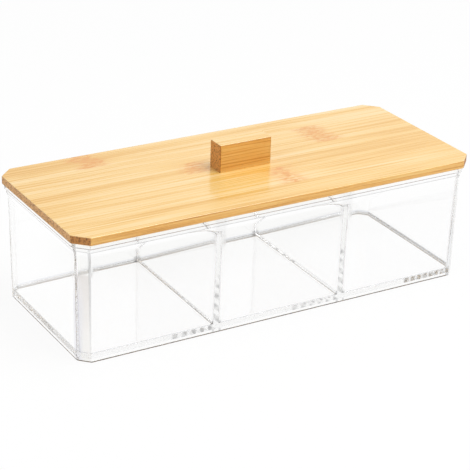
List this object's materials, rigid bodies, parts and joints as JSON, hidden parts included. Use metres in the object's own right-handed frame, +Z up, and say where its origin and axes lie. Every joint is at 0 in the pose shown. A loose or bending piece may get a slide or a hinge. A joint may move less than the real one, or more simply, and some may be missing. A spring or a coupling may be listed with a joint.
{
  "type": "compartment organizer",
  "caption": "Long clear moulded tray divided into compartments, with a lift-off bamboo lid that has a block handle in its middle.",
  "frame": {"origin": "centre of the tray's base, on the surface it stands on", "axes": "+X along the length of the tray, +Y across it to the back, +Z up through the lid and handle"},
  "size_m": [0.24, 0.099, 0.086],
  "materials": {
    "clear_plastic": "clear, polished",
    "bamboo": "semi-gloss lacquer, grain along the length",
    "handle_bamboo": "semi-gloss lacquer, grain along the length",
    "screw_steel": "zinc plated"
  },
  "bodies": {
    "tray": {"tray": "clear_plastic"},
    "lid": {"lid_board": "bamboo", "handle": "handle_bamboo", "handle_screws": "screw_steel"}
  },
  "joints": [
    {"name": "lid_lift", "type": "slide", "parent": "tray", "child": "lid", "axis": [0, 0, 1], "range_m": [0, 0.08]}
  ]
}
